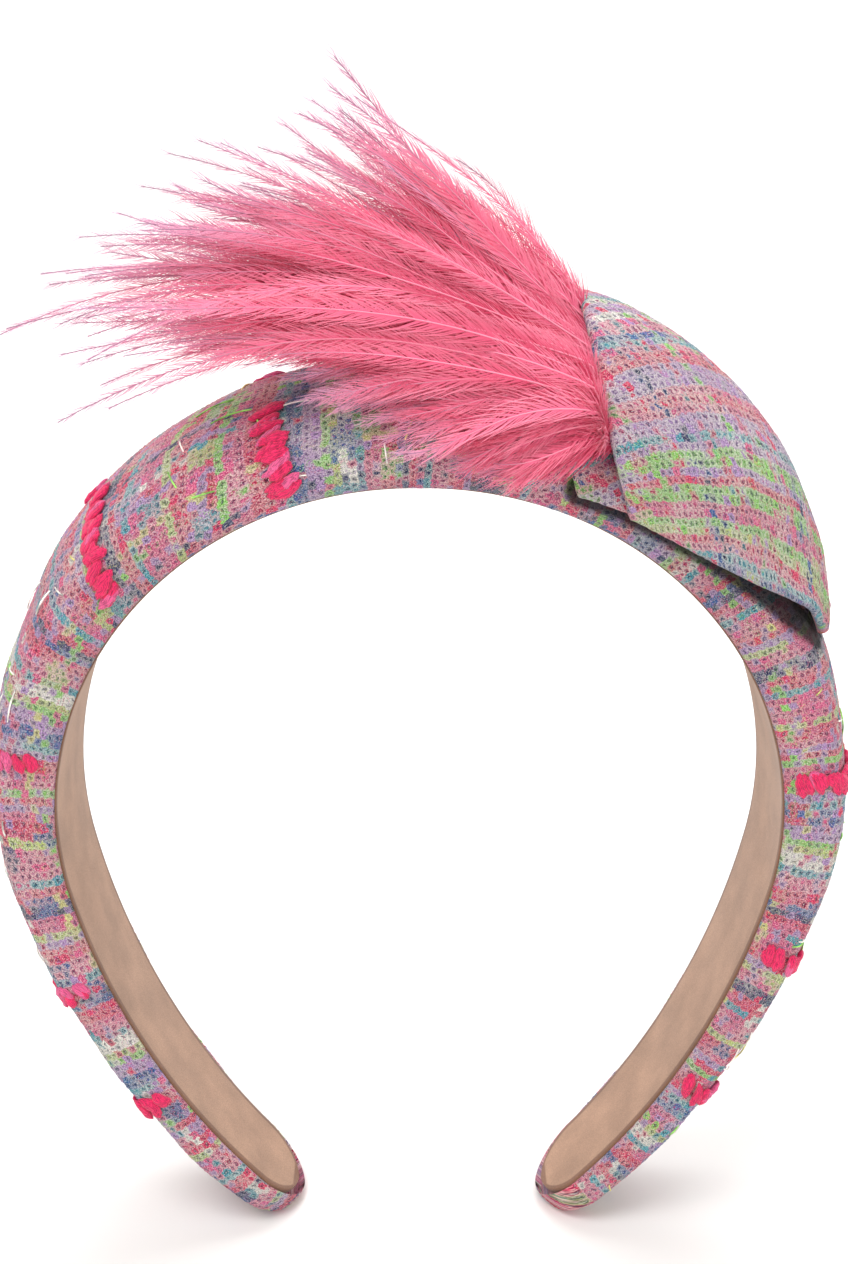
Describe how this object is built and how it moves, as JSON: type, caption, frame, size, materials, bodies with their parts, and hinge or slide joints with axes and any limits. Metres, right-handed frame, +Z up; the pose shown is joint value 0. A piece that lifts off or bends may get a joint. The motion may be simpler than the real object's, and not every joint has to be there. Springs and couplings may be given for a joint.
{
  "type": "feather headband",
  "caption": "Wide padded headband in knobbly pink and multicolour tweed, lined in suede, with a folded petal pouch on one side holding a swept coral feather plume.",
  "frame": {"origin": "on the floor, at the bottom centre of the whole object's box, between the two ends it stands on", "axes": "+Z up from the ends to the crown, -Y towards the front, +X towards the side that carries the petal pouch"},
  "size_m": [0.155, 0.0528, 0.2203],
  "materials": {
    "tweed": "knobbly multicolour tweed with a cream net thread and pink slubs",
    "petal_tweed": "the same tweed, cut with its stripes across the petal",
    "suede": "matt tan suede with a darker cut edge",
    "feather": "soft dyed feather barbs with a slight sheen"
  },
  "bodies": {
    "root": {"padded_band": "tweed", "lining": "suede", "upper_petal": "petal_tweed", "lower_petal": "petal_tweed", "plume": "feather"}
  },
  "joints": []
}
